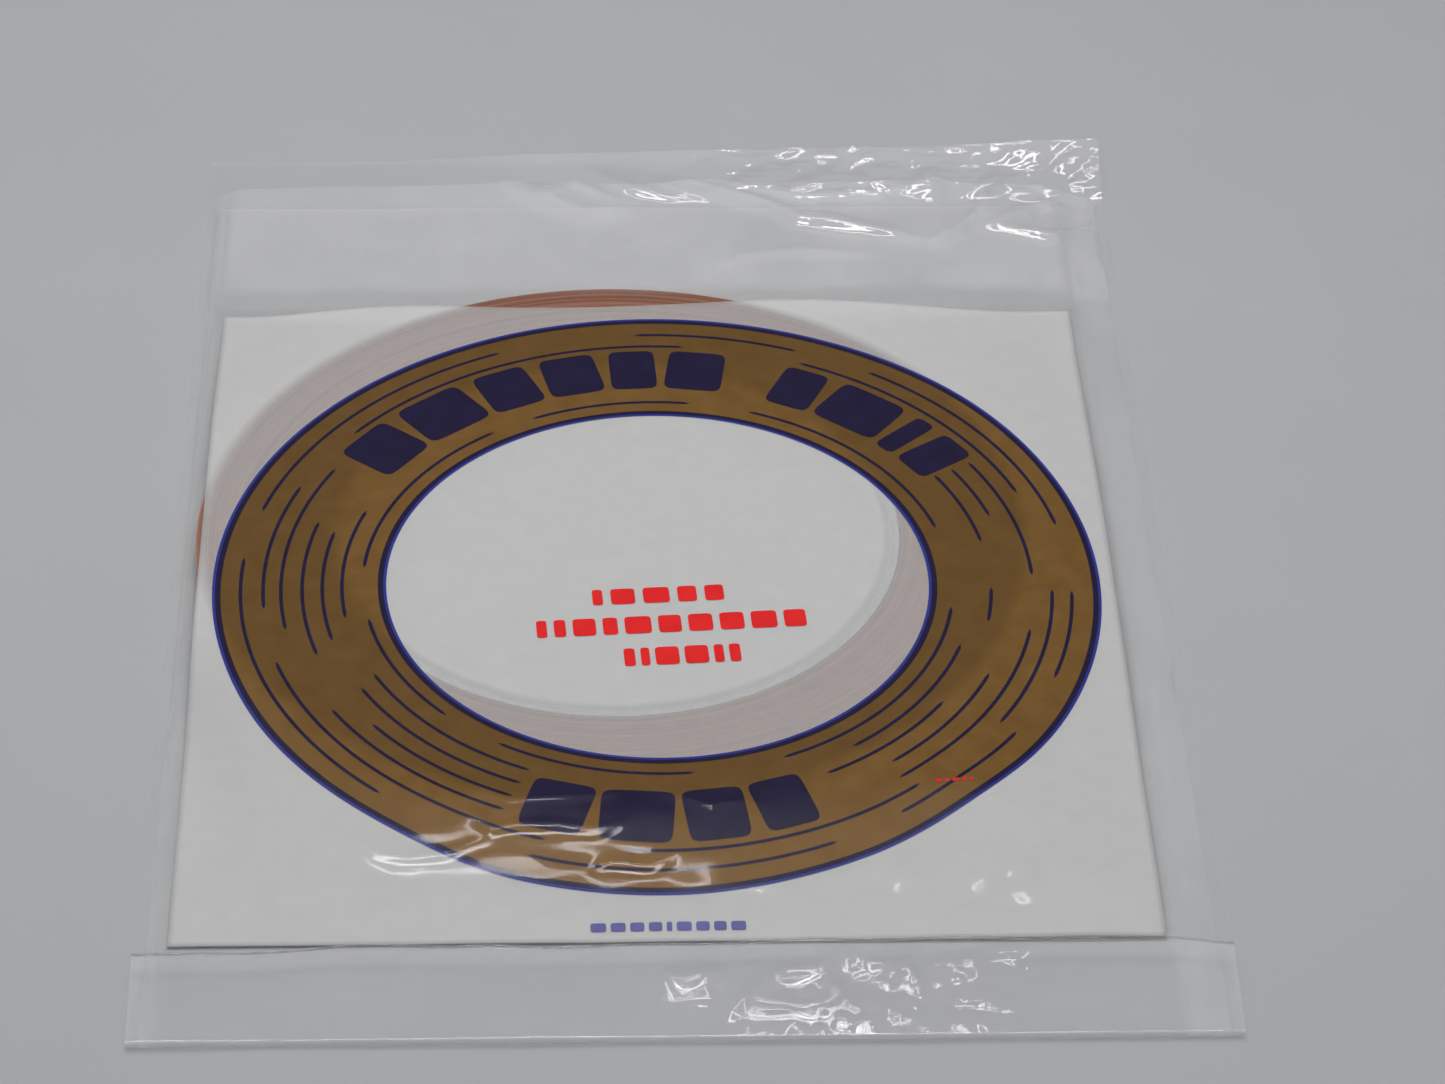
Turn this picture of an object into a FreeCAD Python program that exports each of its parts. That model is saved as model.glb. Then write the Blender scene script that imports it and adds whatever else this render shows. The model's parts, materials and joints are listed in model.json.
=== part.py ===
import FreeCAD, Part
import math
import os

# A roll of adhesive copper foil tape with its printed card, in a clear side-weld bag that lies flat.
# Millimetres. +X is across the bag, +Y runs from the folded-over bottom to the open mouth, +Z is up.
# The origin is the centre of the closed bag on the surface that it lies on.

# --- The bag ---
BAG_WIDTH = 137.0
BAG_LENGTH = 192.7  # from the fold at the bottom to the edge of the back film's lip
LIP_LENGTH = 12.2  # how far the back film runs past the front film
WELD_WIDTH = 1.5  # each side weld, where both films are melted together
FILM = 0.2  # a stand-in for film 0.04 thick
FILM_GAP = 0.1  # between the two films of the folded-over strip

# --- The roll ---
BORE_DIAMETER = 76.2  # a 3 inch core
CORE_WALL = 1.5
ROLL_DIAMETER = 115.6
TAPE_WIDTH = 3.175  # 1/8 inch, which is the height of the roll as it lies
MODELLED_TURNS = 18  # each stands for about six turns of the real 36 yard winding
FOIL = 0.2
ADHESIVE = 0.15
LAYER_GAP = 0.05
ROLL_X = -7.75
ROLL_Y = 0.85

# --- The card ---
CARD_WIDTH = 125.1
CARD_LENGTH = 134.3
CARD_THICKNESS = 0.2  # a stand-in for paper 0.1 thick
CARD_X = -1.9
CARD_Y = -11.4
DRAPE_RADIUS = 58.3  # where the card starts to bend down around the roll
DRAPE_END_RADIUS = 70.0  # where it lies flat again

# --- Heights above the surface that the bag lies on ---
ROLL_CLEARANCE = 0.05
ROLL_BOTTOM = FILM + ROLL_CLEARANCE
CARD_TOP_BOTTOM = ROLL_BOTTOM + TAPE_WIDTH + 0.075  # underside of the card where it lies on the roll
CARD_EDGE_BOTTOM = 0.35  # underside of the card where it lies on the back film
ROOF = 3.85  # underside of the front film over the contents
MOUTH_STEP = 4.9  # underside of the front film where it lifts beyond the contents
MOUTH_ROOF = 5.5  # and at the mouth

# --- The folded-over strip ---
FLAP_LENGTH = 15.2
FLAP_REST_DEG = 7.5  # how far the free edge springs up
FOLD_INSET = 0.35  # hinge line, from the end of the bag
FOLD_HEIGHT = 0.8
BOTTOM_FOLD_WIDTH = 0.4

BAG_FRONT_Y = -BAG_LENGTH / 2
BAG_REAR_Y = BAG_LENGTH / 2
MOUTH_Y = BAG_REAR_Y - LIP_LENGTH
INSIDE_X = BAG_WIDTH / 2 - WELD_WIDTH
BORE_RADIUS = BORE_DIAMETER / 2
CORE_RADIUS = BORE_RADIUS + CORE_WALL

os.makedirs("parts", exist_ok=True)


def save(node, shape):
    """Writes one solid as the STEP file of its node."""
    shape.exportStep(f"parts/{node}.step")


def box(low, high):
    """A box between two opposite corners."""
    size = [b - a for a, b in zip(low, high)]
    return Part.makeBox(*size, FreeCAD.Vector(*low))


def prism_along_y(xz_points):
    """A section in the XZ plane, run the whole length of the bag and a little past it at both ends."""
    start_y = BAG_FRONT_Y - 1
    points = [FreeCAD.Vector(x, start_y, z) for x, z in xz_points]
    face = Part.Face(Part.makePolygon(points + points[:1]))
    return face.extrude(FreeCAD.Vector(0, BAG_LENGTH + 2, 0))


def prism_along_x(yz_points):
    """A section in the YZ plane, run the whole width between the welds."""
    points = [FreeCAD.Vector(-INSIDE_X, y, z) for y, z in yz_points]
    face = Part.Face(Part.makePolygon(points + points[:1]))
    return face.extrude(FreeCAD.Vector(2 * INSIDE_X, 0, 0))


def front_film_space(lift, floor_z, mouth_y):
    """Everything under the front film: its underside raised by lift, down to floor_z.

    Across the bag it climbs steeply beside the roll and slopes down over the bent card. Along the bag it
    climbs from the fold over the card's edge and the roll, and lifts again at the open mouth.
    """
    side_z = FILM + lift
    across = [
        (-INSIDE_X, floor_z),
        (-INSIDE_X, side_z),
        (-INSIDE_X + 1.0 - lift, ROOF + lift),
        (-58.0, MOUTH_ROOF + lift),
        (44.0, MOUTH_ROOF + lift),
        (51.5, ROOF + lift),
        (63.5, 0.95 + lift),
        (INSIDE_X, side_z),
        (INSIDE_X, floor_z),
    ]
    along = [
        (BAG_FRONT_Y, floor_z),
        (BAG_FRONT_Y, side_z),
        (-80.5, 0.75 + lift),
        (-71.5, 1.0 + lift),
        (-59.0, ROOF + lift),
        (60.0, ROOF + lift),
        (66.0, MOUTH_STEP + lift),
        (mouth_y, MOUTH_ROOF + lift),
        (mouth_y, floor_z),
    ]
    return prism_along_y(across).common(prism_along_x(along))


def front_film():
    """The front film: the space under its top less the space under its underside, open at the mouth."""
    outer = front_film_space(FILM, FILM, MOUTH_Y)
    inner = front_film_space(0.0, FILM - 0.1, MOUTH_Y + 1)
    return outer.cut(inner)


def ring(outer_radius, inner_radius, bottom, height):
    """A flat ring about the roll's axis."""
    base = FreeCAD.Vector(ROLL_X, ROLL_Y, bottom)
    return Part.makeCylinder(outer_radius, height, base).cut(Part.makeCylinder(inner_radius, height, base))


def half_turns(start_radius, pitch):
    """The centre and radius of each half turn of a spiral made of semicircles, joined without a corner."""
    for i in range(2 * MODELLED_TURNS):
        side = -1 if i % 2 == 0 else 1
        yield side, FreeCAD.Vector(ROLL_X + side * pitch / 4, ROLL_Y, ROLL_BOTTOM), start_radius + i * pitch / 2


def spiral_edges(start_radius, pitch):
    """The edges of one face of a wound layer, from the innermost end outwards."""
    edges = []
    for side, centre, radius in half_turns(start_radius, pitch):
        start = centre + FreeCAD.Vector(-side * radius, 0, 0)
        middle = centre + FreeCAD.Vector(0, -side * radius, 0)
        end = centre + FreeCAD.Vector(side * radius, 0, 0)
        edges.append(Part.Arc(start, middle, end).toShape())
    return edges


def wound_layer(start_radius, thickness, pitch):
    """One layer of the tape, wound on edge: a spiral strip as tall as the tape is wide."""
    inner = spiral_edges(start_radius, pitch)
    outer = spiral_edges(start_radius + thickness, pitch)
    first_end = Part.makeLine(inner[0].firstVertex(True).Point, outer[0].firstVertex(True).Point)
    last_end = Part.makeLine(inner[-1].lastVertex(True).Point, outer[-1].lastVertex(True).Point)
    outline = Part.Wire(Part.__sortEdges__(inner + [last_end] + outer + [first_end]))
    return Part.Face(outline).extrude(FreeCAD.Vector(0, 0, TAPE_WIDTH))


def winding():
    """The tape's three layers: the paper liner inside, the adhesive, and the foil on the outside."""
    start = CORE_RADIUS + LAYER_GAP
    pitch = (ROLL_DIAMETER / 2 - start) / (MODELLED_TURNS + 1)
    liner = pitch - FOIL - ADHESIVE - 3 * LAYER_GAP
    layers = {}
    radius = start + pitch / 4
    for node, thickness in (("release_liner", liner), ("adhesive_layer", ADHESIVE), ("copper_foil", FOIL)):
        layers[node] = wound_layer(radius, thickness, pitch)
        radius += thickness + LAYER_GAP
    return layers


def card():
    """The card: flat over the roll, bent down around it, flat again on the back film, cut to a rectangle."""
    reach = math.hypot(CARD_WIDTH, CARD_LENGTH)
    underside = [
        (0, CARD_TOP_BOTTOM),
        (DRAPE_RADIUS, CARD_TOP_BOTTOM),
        (DRAPE_END_RADIUS, CARD_EDGE_BOTTOM),
        (reach, CARD_EDGE_BOTTOM),
    ]
    top = [(radius, z + CARD_THICKNESS) for radius, z in reversed(underside)]
    points = [FreeCAD.Vector(ROLL_X + radius, ROLL_Y, z) for radius, z in underside + top]
    section = Part.Face(Part.makePolygon(points + points[:1]))
    axis_point = FreeCAD.Vector(ROLL_X, ROLL_Y, 0)
    draped = section.revolve(axis_point, FreeCAD.Vector(0, 0, 1), 360)
    low = (CARD_X - CARD_WIDTH / 2, CARD_Y - CARD_LENGTH / 2, 0)
    high = (CARD_X + CARD_WIDTH / 2, CARD_Y + CARD_LENGTH / 2, CARD_TOP_BOTTOM + 1)
    return draped.common(box(low, high))


def flap_piece(low_x, high_x, start, end, low_z, high_z):
    """A strip of the folded-over part: start and end are distances from the hinge line, heights from it."""
    y0 = BAG_FRONT_Y + FOLD_INSET
    piece = box((low_x, y0 + start, FOLD_HEIGHT + low_z), (high_x, y0 + end, FOLD_HEIGHT + high_z))
    piece.rotate(FreeCAD.Vector(0, y0, FOLD_HEIGHT), FreeCAD.Vector(1, 0, 0), FLAP_REST_DEG)
    return piece


def flap():
    """The bag's surplus end, folded over the front: two films, their side welds and the bottom fold."""
    half = FILM + FILM_GAP / 2
    half_width = BAG_WIDTH / 2
    ply_end = FLAP_LENGTH - BOTTOM_FOLD_WIDTH
    return {
        "flap_lower_film": flap_piece(-INSIDE_X, INSIDE_X, 0, ply_end, -half, -half + FILM),
        "flap_upper_film": flap_piece(-INSIDE_X, INSIDE_X, 0, ply_end, half - FILM, half),
        "flap_left_weld": flap_piece(-half_width, -INSIDE_X, 0, ply_end, -half, half),
        "flap_right_weld": flap_piece(INSIDE_X, half_width, 0, ply_end, -half, half),
        "flap_bottom_fold": flap_piece(-half_width, half_width, ply_end, FLAP_LENGTH, -half, half),
    }


def bag():
    """The lying part of the bag: the flat back film with its lip, the side welds and the front film."""
    half_width = BAG_WIDTH / 2
    back = box((-INSIDE_X, BAG_FRONT_Y, 0), (INSIDE_X, MOUTH_Y, FILM))
    lip = box((-half_width, MOUTH_Y, 0), (half_width, BAG_REAR_Y, FILM))
    return {
        "bag_back_film": back.fuse(lip).removeSplitter(),
        "bag_left_weld": box((-half_width, BAG_FRONT_Y, 0), (-INSIDE_X, MOUTH_Y, 2 * FILM)),
        "bag_right_weld": box((INSIDE_X, BAG_FRONT_Y, 0), (half_width, MOUTH_Y, 2 * FILM)),
        "bag_front_film": front_film(),
    }


solids = {}
solids.update(bag())
solids.update(flap())
solids["printed_card"] = card()
solids["core_ring"] = ring(CORE_RADIUS, BORE_RADIUS, ROLL_BOTTOM, TAPE_WIDTH)
solids.update(winding())

for name, solid in solids.items():
    save(name, solid)
    if not solid.isValid() or len(solid.Solids) != 1:
        raise ValueError(f"{name} isn't one valid solid")
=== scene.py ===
import json
import math

import bpy
import numpy as np
from mathutils import Matrix, Vector


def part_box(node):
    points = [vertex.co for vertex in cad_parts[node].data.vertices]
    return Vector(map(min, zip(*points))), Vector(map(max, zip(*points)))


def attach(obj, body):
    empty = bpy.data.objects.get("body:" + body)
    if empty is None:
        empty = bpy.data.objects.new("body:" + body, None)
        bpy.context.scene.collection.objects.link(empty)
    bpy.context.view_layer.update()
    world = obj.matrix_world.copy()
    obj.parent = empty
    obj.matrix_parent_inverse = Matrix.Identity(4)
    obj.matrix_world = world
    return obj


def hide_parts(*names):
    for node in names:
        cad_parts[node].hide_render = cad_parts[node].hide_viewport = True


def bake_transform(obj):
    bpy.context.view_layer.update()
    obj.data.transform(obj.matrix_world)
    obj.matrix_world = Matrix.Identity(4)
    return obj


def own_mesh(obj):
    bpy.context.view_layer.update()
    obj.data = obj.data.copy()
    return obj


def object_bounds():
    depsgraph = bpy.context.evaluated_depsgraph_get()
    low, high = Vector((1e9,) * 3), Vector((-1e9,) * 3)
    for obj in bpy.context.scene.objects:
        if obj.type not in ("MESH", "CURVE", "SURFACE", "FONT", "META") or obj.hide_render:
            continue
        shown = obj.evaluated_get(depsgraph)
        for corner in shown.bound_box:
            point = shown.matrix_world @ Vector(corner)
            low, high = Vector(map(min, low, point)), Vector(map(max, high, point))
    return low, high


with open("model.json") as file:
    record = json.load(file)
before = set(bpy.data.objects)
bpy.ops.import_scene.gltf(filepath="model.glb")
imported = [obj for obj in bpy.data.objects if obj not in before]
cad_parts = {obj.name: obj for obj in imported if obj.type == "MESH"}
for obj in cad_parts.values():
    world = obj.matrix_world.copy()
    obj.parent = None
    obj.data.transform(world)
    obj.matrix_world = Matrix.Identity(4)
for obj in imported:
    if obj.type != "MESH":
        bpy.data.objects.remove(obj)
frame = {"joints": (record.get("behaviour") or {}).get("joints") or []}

# A roll of copper foil tape under its printed card, in a clear side-weld bag that lies flat.
# Shapes are worked out in millimetres in the row frame (+Z up, +Y towards the bag's open mouth) and
# turned into metres when a mesh is made. The main places come from the imported nodes' boxes; the print,
# creases and other fine shapes are given as numbers.

MM = 0.001
SEED = 7
TURN = 2 * math.pi


def node_box(*nodes):
    """The lowest and highest corner of some CAD nodes together, in millimetres."""
    boxes = [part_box(node) for node in nodes]
    low = np.min([np.array(b[0]) for b in boxes], axis=0) / MM
    high = np.max([np.array(b[1]) for b in boxes], axis=0) / MM
    return low, high


CAD_LOW, CAD_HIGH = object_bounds()

# --- Sizes read from the frame ---
WELD_LOW, WELD_HIGH = node_box("bag_left_weld")
BAG_LOW, BAG_HIGH = node_box("bag_back_film")
FRONT_LOW, FRONT_HIGH = node_box("bag_front_film")
CARD_LOW, CARD_HIGH = node_box("printed_card")
CORE_LOW, CORE_HIGH = node_box("core_ring")
ROLL_LOW, ROLL_HIGH = node_box("copper_foil", "release_liner", "adhesive_layer")
FLAP_LOW, FLAP_HIGH = node_box("flap_bottom_fold", "flap_upper_film", "flap_lower_film")

BAG_HALF_WIDTH = BAG_HIGH[0]
WELD_WIDTH = WELD_HIGH[0] - WELD_LOW[0]
INSIDE_X = BAG_HALF_WIDTH - WELD_WIDTH
FOLD_Y = BAG_LOW[1]
MOUTH_Y = FRONT_HIGH[1]
LIP_Y = BAG_HIGH[1]
ROLL_X, ROLL_Y = (CORE_LOW[:2] + CORE_HIGH[:2]) / 2
ROLL_BOTTOM, ROLL_TOP = CORE_LOW[2], CORE_HIGH[2]
CORE_RADIUS = (CORE_HIGH[0] - CORE_LOW[0]) / 2
ROLL_RADIUS = ROLL_X - ROLL_LOW[0] + 0.1  # the modelled winding ends a little inside the real rim
HINGE = np.array(next(j for j in frame["joints"] if j["name"] == "flap_fold")["pos_m"]) / MM

# --- Sizes of the real object ---
CORE_WALL = 1.5
REAL_TURNS = 108
FOIL, ADHESIVE, LINER = 0.055, 0.02, 0.088  # thicknesses that fill one turn of the winding
CARD_THICKNESS = 0.1
FLAP_REST = math.radians(7.5)  # how far the folded-over strip springs up
FLAP_SLOPE = math.tan(FLAP_REST)
FLAP_REACH = 15.1  # from its hinge line to its free edge


# --- Small tools -------------------------------------------------------------------------------------

def smooth_step(t):
    """0 below 0, 1 above 1, and a soft S between."""
    t = np.clip(t, 0.0, 1.0)
    return t * t * (3 - 2 * t)


def waves(x, y, wavelength, count, seed):
    """Soft seeded undulation between about -1 and 1: a few plane waves in random directions."""
    rng = np.random.default_rng(SEED * 1000 + seed)
    total = np.zeros(np.broadcast(x, y).shape)
    for angle, phase, stretch in zip(rng.uniform(0, TURN, count), rng.uniform(0, TURN, count),
                                     rng.uniform(0.6, 1.7, count)):
        k = TURN / (wavelength * stretch)
        total += np.sin(k * (x * math.cos(angle) + y * math.sin(angle)) + phase)
    return total / math.sqrt(count)


def make_piece(name, points, faces, material, body=None, smooth=True):
    """A mesh object from points in millimetres, riding on a CAD body."""
    mesh = bpy.data.meshes.new(name)
    mesh.from_pydata((np.asarray(points, float) * MM).tolist(), [], [list(f) for f in faces])
    mesh.polygons.foreach_set("use_smooth", [smooth] * len(mesh.polygons))
    mesh.materials.append(material)
    mesh.update()
    piece = bpy.data.objects.new(name, mesh)
    bpy.context.scene.collection.objects.link(piece)
    if body:
        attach(piece, body)
    return piece


def grid_faces(rows, columns, wrap_rows=False, wrap_columns=False):
    """The quads of a grid of points numbered row by row."""
    r = np.arange(rows if wrap_rows else rows - 1)
    c = np.arange(columns if wrap_columns else columns - 1)
    rr, cc = np.meshgrid(r, c, indexing="ij")
    r2, c2 = (rr + 1) % rows, (cc + 1) % columns
    quads = np.stack([rr * columns + cc, rr * columns + c2, r2 * columns + c2, r2 * columns + cc], -1)
    return quads.reshape(-1, 4)


def sheet(name, x, y, z, material, body):
    """A sheet with no thickness over a grid of points; rows run along Y and columns along X."""
    points = np.stack([x, y, z], -1).reshape(-1, 3)
    return make_piece(name, points, grid_faces(*x.shape), material, body)


def thick_sheet(name, x, y, z, thickness, material, body):
    """A closed sheet over a grid of points: z is its top, and thickness lies under it."""
    rows, columns = x.shape
    top = np.stack([x, y, z], -1).reshape(-1, 3)
    bottom = top - [0, 0, thickness]
    count = rows * columns
    quads = grid_faces(rows, columns)
    index = np.arange(count).reshape(rows, columns)
    border = np.concatenate([index[0, :-1], index[:-1, -1], index[-1, :0:-1], index[:0:-1, 0]])
    following = np.roll(border, -1)
    sides = np.stack([following, border, border + count, following + count], -1)
    faces = np.concatenate([quads, quads[:, ::-1] + count, sides])
    return make_piece(name, np.concatenate([top, bottom]), faces, material, body)


# --- Materials ---------------------------------------------------------------------------------------

class Nodes:
    """A short way to write a material's node tree."""

    def __init__(self, name):
        self.material = bpy.data.materials.new(name)
        self.material.use_nodes = True
        self.tree = self.material.node_tree
        self.tree.nodes.clear()
        self.output = self.tree.nodes.new("ShaderNodeOutputMaterial")

    def add(self, kind, **inputs):
        """A node with its inputs set; an input may be a value or another node's output socket."""
        node = self.tree.nodes.new("ShaderNode" + kind)
        for key, value in inputs.items():
            if key.startswith("set_"):
                setattr(node, key[4:], value)
                continue
            socket = node.inputs[key.replace("_", " ")]
            if isinstance(value, bpy.types.NodeSocket):
                self.tree.links.new(value, socket)
            else:
                socket.default_value = value
        return node

    def join(self, out, socket):
        self.tree.links.new(out, socket)

    def position(self):
        """The point in the object's own space, in metres."""
        return self.add("TexCoord").outputs["Object"]

    def from_axis(self):
        """The distance from the roll's axis, in metres."""
        offset = self.add("VectorMath", set_operation="SUBTRACT")
        self.join(self.position(), offset.inputs[0])
        offset.inputs[1].default_value = (ROLL_X * MM, ROLL_Y * MM, 0.0)
        flat = self.add("VectorMath", set_operation="MULTIPLY")
        self.join(offset.outputs[0], flat.inputs[0])
        flat.inputs[1].default_value = (1, 1, 0)
        length = self.add("VectorMath", set_operation="LENGTH")
        self.join(flat.outputs[0], length.inputs[0])
        return length.outputs["Value"]

    def noise(self, scale, detail=3.0, roughness=0.55, vector=None):
        node = self.add("TexNoise", Scale=scale, Detail=detail, Roughness=roughness)
        self.join(vector or self.position(), node.inputs["Vector"])
        return node.outputs["Fac"]

    def schlick(self, turned_away, least, rest):
        """How much a surface mirrors: least seen straight on, and nearly all of it edge on."""
        power = self.add("Math", set_operation="POWER")
        self.join(turned_away, power.inputs[0])
        power.inputs[1].default_value = 5
        total = self.add("Math", set_operation="MULTIPLY_ADD", set_use_clamp=True)
        self.join(power.outputs[0], total.inputs[0])
        total.inputs[1].default_value = rest
        total.inputs[2].default_value = least
        return total.outputs[0]

    def constant(self, value):
        """One value as an output."""
        node = self.add("Value")
        node.outputs[0].default_value = value
        return node.outputs[0]

    def off_card(self):
        """0 over the card and 1 where only film lies, with a soft edge."""
        parts = self.add("SeparateXYZ", Vector=self.position())
        farthest = self.constant(0.0)
        # Axis, edge of the card, width of the soft edge, and how much of the haze there is past it.
        sides = (("X", CARD_HIGH[0], 2.0, 0.55), ("X", CARD_LOW[0], -2.0, 0.55),
                 ("Y", CARD_HIGH[1], 3.0, 1.0))
        for axis, edge, soft, most in sides:
            beyond = self.add("MapRange", Value=parts.outputs[axis], From_Min=edge * MM,
                              From_Max=(edge + soft) * MM, To_Max=most).outputs["Result"]
            larger = self.add("Math", set_operation="MAXIMUM")
            self.join(beyond, larger.inputs[0])
            self.join(farthest, larger.inputs[1])
            farthest = larger.outputs[0]
        return farthest

    def on_roll(self):
        """1 where the card lies on the roll's turns and core, and softly 0 elsewhere."""
        radius = self.from_axis()
        bore = CORE_RADIUS - CORE_WALL
        inside = self.add("MapRange", Value=radius, From_Min=(bore - 1.0) * MM,
                          From_Max=(bore + 1.1) * MM).outputs["Result"]
        outside = self.add("MapRange", Value=radius, From_Min=(ROLL_RADIUS - 1.6) * MM,
                           From_Max=(ROLL_RADIUS + 0.3) * MM, To_Min=1.0, To_Max=0.0).outputs["Result"]
        both = self.add("Math", set_operation="MULTIPLY")
        self.join(inside, both.inputs[0])
        self.join(outside, both.inputs[1])
        return both.outputs[0]

    def ramp(self, factor, stops):
        """A colour ramp with stops of (place, colour)."""
        node = self.add("ValToRGB", Fac=factor)
        elements = node.color_ramp.elements
        while len(elements) < len(stops):
            elements.new(0.5)
        for element, (place, colour) in zip(elements, stops):
            element.position = place
            element.color = (*colour, 1)
        return node.outputs["Color"]

    def span(self, factor, low, high):
        """A factor of 0 to 1 spread between two values."""
        return self.add("MapRange", Value=factor, To_Min=low, To_Max=high).outputs["Result"]

    def bump(self, height, strength, distance):
        node = self.add("Bump", Height=height, Strength=strength, Distance=distance)
        return node.outputs["Normal"]

    def mix(self, factor, first, second):
        node = self.tree.nodes.new("ShaderNodeMixShader")
        if isinstance(factor, bpy.types.NodeSocket):
            self.join(factor, node.inputs[0])
        else:
            node.inputs[0].default_value = factor
        self.join(first, node.inputs[1])
        self.join(second, node.inputs[2])
        return node.outputs[0]

    def finish(self, shader):
        self.join(shader, self.output.inputs["Surface"])
        return self.material


FILM_MIRROR = 0.04  # how much a film mirrors seen straight on
DULLER_OVER_CARD = 0.42
ROUGHER_OVER_CARD = 0.02
CLEARER_OVER_CARD = 0.02


def film_material(name, haze=0.1, clings=False, clear=0.995, gloss=1.3, grain=0.12):
    """Thin clear film: it lets light straight through and mirrors more of it towards edge on, with some haze.

    A film that clings to the card is clearer and duller over it.
    """
    n = Nodes(name)
    fine = n.noise(900.0, 2.0)
    soft = n.noise(120.0, 3.0)
    normal = n.bump(fine, grain, 0.00012)
    through = n.add("BsdfTransparent", Color=(clear, clear, clear, 1)).outputs[0]
    off_card = n.off_card() if clings else n.constant(1.0)
    rough = n.add("Math", set_operation="ADD")
    n.join(n.span(soft, 0.03, 0.09), rough.inputs[0])
    n.join(n.span(off_card, ROUGHER_OVER_CARD, 0.0), rough.inputs[1])
    shine = n.add("BsdfGlossy", Color=(1, 1, 1, 1), Roughness=rough.outputs[0], Normal=normal).outputs[0]
    dust = n.add("BsdfDiffuse", Color=(0.88, 0.88, 0.88, 1)).outputs[0]
    turned_away = n.add("LayerWeight", Blend=0.5, Normal=normal).outputs["Facing"]
    mirrored = n.add("Math", set_operation="MULTIPLY")
    n.join(n.schlick(turned_away, FILM_MIRROR * gloss, (1 - FILM_MIRROR) * gloss), mirrored.inputs[0])
    n.join(n.span(off_card, DULLER_OVER_CARD, 1.0), mirrored.inputs[1])
    cloudy = n.add("Math", set_operation="MULTIPLY")
    n.join(n.span(n.noise(85.0, 3.0), 0.45 * haze, 1.55 * haze), cloudy.inputs[0])
    n.join(n.span(off_card, CLEARER_OVER_CARD, 1.0), cloudy.inputs[1])
    hazy = n.mix(cloudy.outputs[0], through, dust)
    return n.finish(n.mix(mirrored.outputs[0], hazy, shine))


PAPER_BODY = 0.62  # share of the paper's own look where nothing lies close under it
PAPER_BODY_ON_ROLL = 0.29  # and where it touches the roll, whose copper shows through


def paper_card_material():
    """Thin white paper. What it touches, the roll's rings of copper and board, shows through."""
    n = Nodes("card_paper")
    cloud = n.noise(350.0, 4.0)
    colour = n.ramp(cloud, [(0.3, (0.605, 0.60, 0.59)), (0.7, (0.63, 0.625, 0.615))])
    normal = n.bump(n.noise(2500.0, 3.0), 0.08, 0.00003)
    paper = n.add("BsdfPrincipled", Base_Color=colour, Roughness=0.6, Normal=normal,
                  Specular_IOR_Level=0.15).outputs[0]
    through = n.add("BsdfTransparent", Color=(0.975, 0.985, 0.995, 1)).outputs[0]
    return n.finish(n.mix(n.span(n.on_roll(), PAPER_BODY, PAPER_BODY_ON_ROLL), through, paper))


def ink_material(name, dark, light, metallic=0.0, roughness=0.45, see_through=0.0):
    """Printing ink with a slight mottle. A see-through ink is darker where the paper lies on the roll."""
    n = Nodes(name)
    colour = n.ramp(n.noise(260.0, 4.0), [(0.3, dark), (0.7, light)])
    rough = n.span(n.noise(600.0, 2.0), roughness - 0.06, roughness + 0.06)
    ink = n.add("BsdfPrincipled", Base_Color=colour, Metallic=metallic, Roughness=rough,
                Specular_IOR_Level=0.12).outputs[0]
    if not see_through:
        return n.finish(ink)
    through = n.add("BsdfTransparent", Color=(0.85, 0.62, 0.3, 1)).outputs[0]
    shade = tuple(0.45 * part for part in dark)
    shaded = n.add("BsdfPrincipled", Base_Color=(*shade, 1), Roughness=roughness,
                   Specular_IOR_Level=0.12).outputs[0]
    over_roll = n.mix(n.span(n.on_roll(), 0.0, 0.38), ink, shaded)
    return n.finish(n.mix(1 - see_through, through, over_roll))


def radial_bands(n, scale, detail=6.0):
    """Noise that changes only with the distance from the roll's axis, so that it makes fine rings."""
    line = n.add("CombineXYZ", X=n.from_axis())
    return n.noise(scale, detail, 0.7, line.outputs[0])


def copper_material():
    """Copper foil seen on its slit edge: brown copper with fine brighter and darker rings, partly its own tone
    and partly painted light and shade for turns that stand at slightly different heights.
    """
    n = Nodes("copper_edge")
    rings = radial_bands(n, 900.0)
    # Partly painted: the brighter rings are painted highlight on turns that stand proud, the darker ones
    # painted shade on turns that lie low.
    colour = n.ramp(rings, [(0.38, (0.22, 0.070, 0.036)), (0.5, (0.46, 0.165, 0.088)),
                            (0.62, (0.90, 0.47, 0.29))])
    rough = n.span(n.noise(1500.0, 3.0), 0.28, 0.5)
    normal = n.bump(rings, 0.3, 0.0001)
    copper = n.add("BsdfPrincipled", Base_Color=colour, Metallic=0.75, Roughness=rough, Normal=normal)
    return n.finish(copper.outputs[0])


def liner_material():
    """Release paper's slit edge: off-white paper, coloured here a dull copper brown, with fine brighter and
    darker rings that are partly painted light and shade for turns at slightly different heights.
    """
    n = Nodes("liner_edge")
    rings = radial_bands(n, 700.0)
    # Partly painted: the brighter rings are painted highlight on turns that stand proud, the darker ones
    # painted shade on turns that lie low.
    colour = n.ramp(rings, [(0.38, (0.13, 0.058, 0.038)), (0.52, (0.265, 0.122, 0.084)),
                            (0.64, (0.52, 0.29, 0.20))])
    paper = n.add("BsdfPrincipled", Base_Color=colour, Roughness=0.75)
    return n.finish(paper.outputs[0])


def adhesive_material():
    """Acrylic adhesive's edge: amber, a little glossy."""
    n = Nodes("adhesive_edge")
    colour = n.ramp(n.noise(1200.0), [(0.3, (0.35, 0.19, 0.11)), (0.7, (0.48, 0.28, 0.17))])
    return n.finish(n.add("BsdfPrincipled", Base_Color=colour, Roughness=0.35).outputs[0])


def core_material():
    """White board with faint ply lines around it."""
    n = Nodes("core_board")
    plies = radial_bands(n, 2500.0, 2.0)
    colour = n.ramp(plies, [(0.35, (0.47, 0.465, 0.45)), (0.65, (0.54, 0.535, 0.52))])
    normal = n.bump(n.noise(1800.0, 4.0), 0.15, 0.00005)
    return n.finish(n.add("BsdfPrincipled", Base_Color=colour, Roughness=0.7, Normal=normal).outputs[0])


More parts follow.
